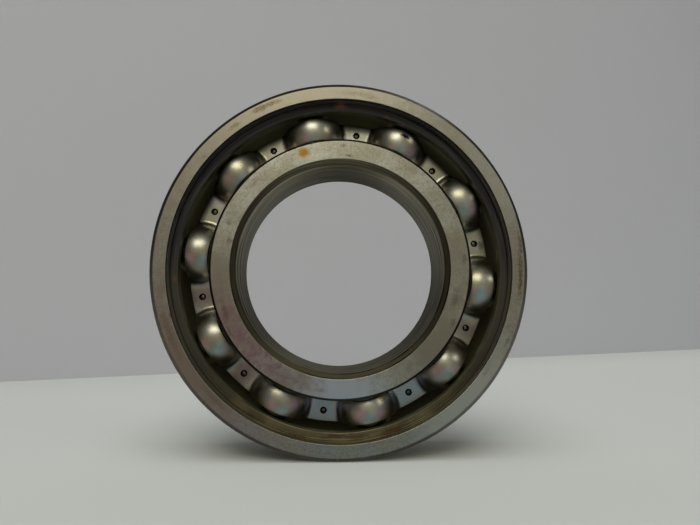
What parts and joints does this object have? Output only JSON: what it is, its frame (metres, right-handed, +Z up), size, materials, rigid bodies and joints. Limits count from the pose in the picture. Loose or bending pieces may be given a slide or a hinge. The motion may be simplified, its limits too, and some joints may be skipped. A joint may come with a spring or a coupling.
{
  "type": "ball bearing",
  "caption": "Radial deep-groove ball bearing, open on both sides: outer and inner rings with balls between them in a riveted pressed-steel ribbon cage.",
  "frame": {"origin": "centre of the bore, on the bearing's axis at half its width", "axes": "+Y along the bearing's axis, from the front face into the bearing; +Z up, with the bearing standing on its rim; +X to the right as seen from the front"},
  "size_m": [0.09, 0.02, 0.09],
  "materials": {
    "outer_ring_steel": "ground bearing steel, satin, with a film of oil and light rust stains",
    "inner_ring_steel": "ground bearing steel, satin, with light rust stains",
    "cage_steel": "pressed steel sheet, satin, slightly discoloured",
    "rivet_steel": "mild steel, dull",
    "ball_steel": "polished bearing steel"
  },
  "bodies": {
    "outer_ring": {"outer_ring": "outer_ring_steel"},
    "inner_ring": {"inner_ring": "inner_ring_steel"},
    "cage": {"cage_front_half": "cage_steel", "cage_rear_half": "cage_steel", "rivet_01": "rivet_steel", "rivet_02": "rivet_steel", "rivet_03": "rivet_steel", "rivet_04": "rivet_steel", "rivet_05": "rivet_steel", "rivet_06": "rivet_steel", "rivet_07": "rivet_steel", "rivet_08": "rivet_steel", "rivet_09": "rivet_steel", "rivet_10": "rivet_steel"},
    "ball_01": {"ball_01": "ball_steel"},
    "ball_02": {"ball_02": "ball_steel"},
    "ball_03": {"ball_03": "ball_steel"},
    "ball_04": {"ball_04": "ball_steel"},
    "ball_05": {"ball_05": "ball_steel"},
    "ball_06": {"ball_06": "ball_steel"},
    "ball_07": {"ball_07": "ball_steel"},
    "ball_08": {"ball_08": "ball_steel"},
    "ball_09": {"ball_09": "ball_steel"},
    "ball_10": {"ball_10": "ball_steel"}
  },
  "joints": [
    {"name": "inner_spin", "type": "hinge", "parent": "outer_ring", "child": "inner_ring", "pos_m": [0, 0, 0], "axis": [0, 1, 0], "continuous": true},
    {"name": "cage_spin", "type": "hinge", "parent": "outer_ring", "child": "cage", "pos_m": [0, 0, 0], "axis": [0, 1, 0], "continuous": true},
    {"name": "ball_01_spin", "type": "hinge", "parent": "cage", "child": "ball_01", "pos_m": [0.03054, 0, 0.0171], "axis": [0, 1, 0], "continuous": true},
    {"name": "ball_02_spin", "type": "hinge", "parent": "cage", "child": "ball_02", "pos_m": [0.01465, 0, 0.03179], "axis": [0, 1, 0], "continuous": true},
    {"name": "ball_03_spin", "type": "hinge", "parent": "cage", "child": "ball_03", "pos_m": [-0.00683, 0, 0.03433], "axis": [0, 1, 0], "continuous": true},
    {"name": "ball_04_spin", "type": "hinge", "parent": "cage", "child": "ball_04", "pos_m": [-0.0257, 0, 0.02376], "axis": [0, 1, 0], "continuous": true},
    {"name": "ball_05_spin", "type": "hinge", "parent": "cage", "child": "ball_05", "pos_m": [-0.03476, 0, 0.00411], "axis": [0, 1, 0], "continuous": true},
    {"name": "ball_06_spin", "type": "hinge", "parent": "cage", "child": "ball_06", "pos_m": [-0.03054, 0, -0.0171], "axis": [0, 1, 0], "continuous": true},
    {"name": "ball_07_spin", "type": "hinge", "parent": "cage", "child": "ball_07", "pos_m": [-0.01465, 0, -0.03179], "axis": [0, 1, 0], "continuous": true},
    {"name": "ball_08_spin", "type": "hinge", "parent": "cage", "child": "ball_08", "pos_m": [0.00683, 0, -0.03433], "axis": [0, 1, 0], "continuous": true},
    {"name": "ball_09_spin", "type": "hinge", "parent": "cage", "child": "ball_09", "pos_m": [0.0257, 0, -0.02376], "axis": [0, 1, 0], "continuous": true},
    {"name": "ball_10_spin", "type": "hinge", "parent": "cage", "child": "ball_10", "pos_m": [0.03476, 0, -0.00411], "axis": [0, 1, 0], "continuous": true}
  ],
  "couplings": [
    {"joint": "cage_spin", "follows": "inner_spin", "ratio": 0.40929},
    {"joint": "ball_01_spin", "follows": "inner_spin", "ratio": -2.6652},
    {"joint": "ball_02_spin", "follows": "inner_spin", "ratio": -2.6652},
    {"joint": "ball_03_spin", "follows": "inner_spin", "ratio": -2.6652},
    {"joint": "ball_04_spin", "follows": "inner_spin", "ratio": -2.6652},
    {"joint": "ball_05_spin", "follows": "inner_spin", "ratio": -2.6652},
    {"joint": "ball_06_spin", "follows": "inner_spin", "ratio": -2.6652},
    {"joint": "ball_07_spin", "follows": "inner_spin", "ratio": -2.6652},
    {"joint": "ball_08_spin", "follows": "inner_spin", "ratio": -2.6652},
    {"joint": "ball_09_spin", "follows": "inner_spin", "ratio": -2.6652},
    {"joint": "ball_10_spin", "follows": "inner_spin", "ratio": -2.6652}
  ]
}
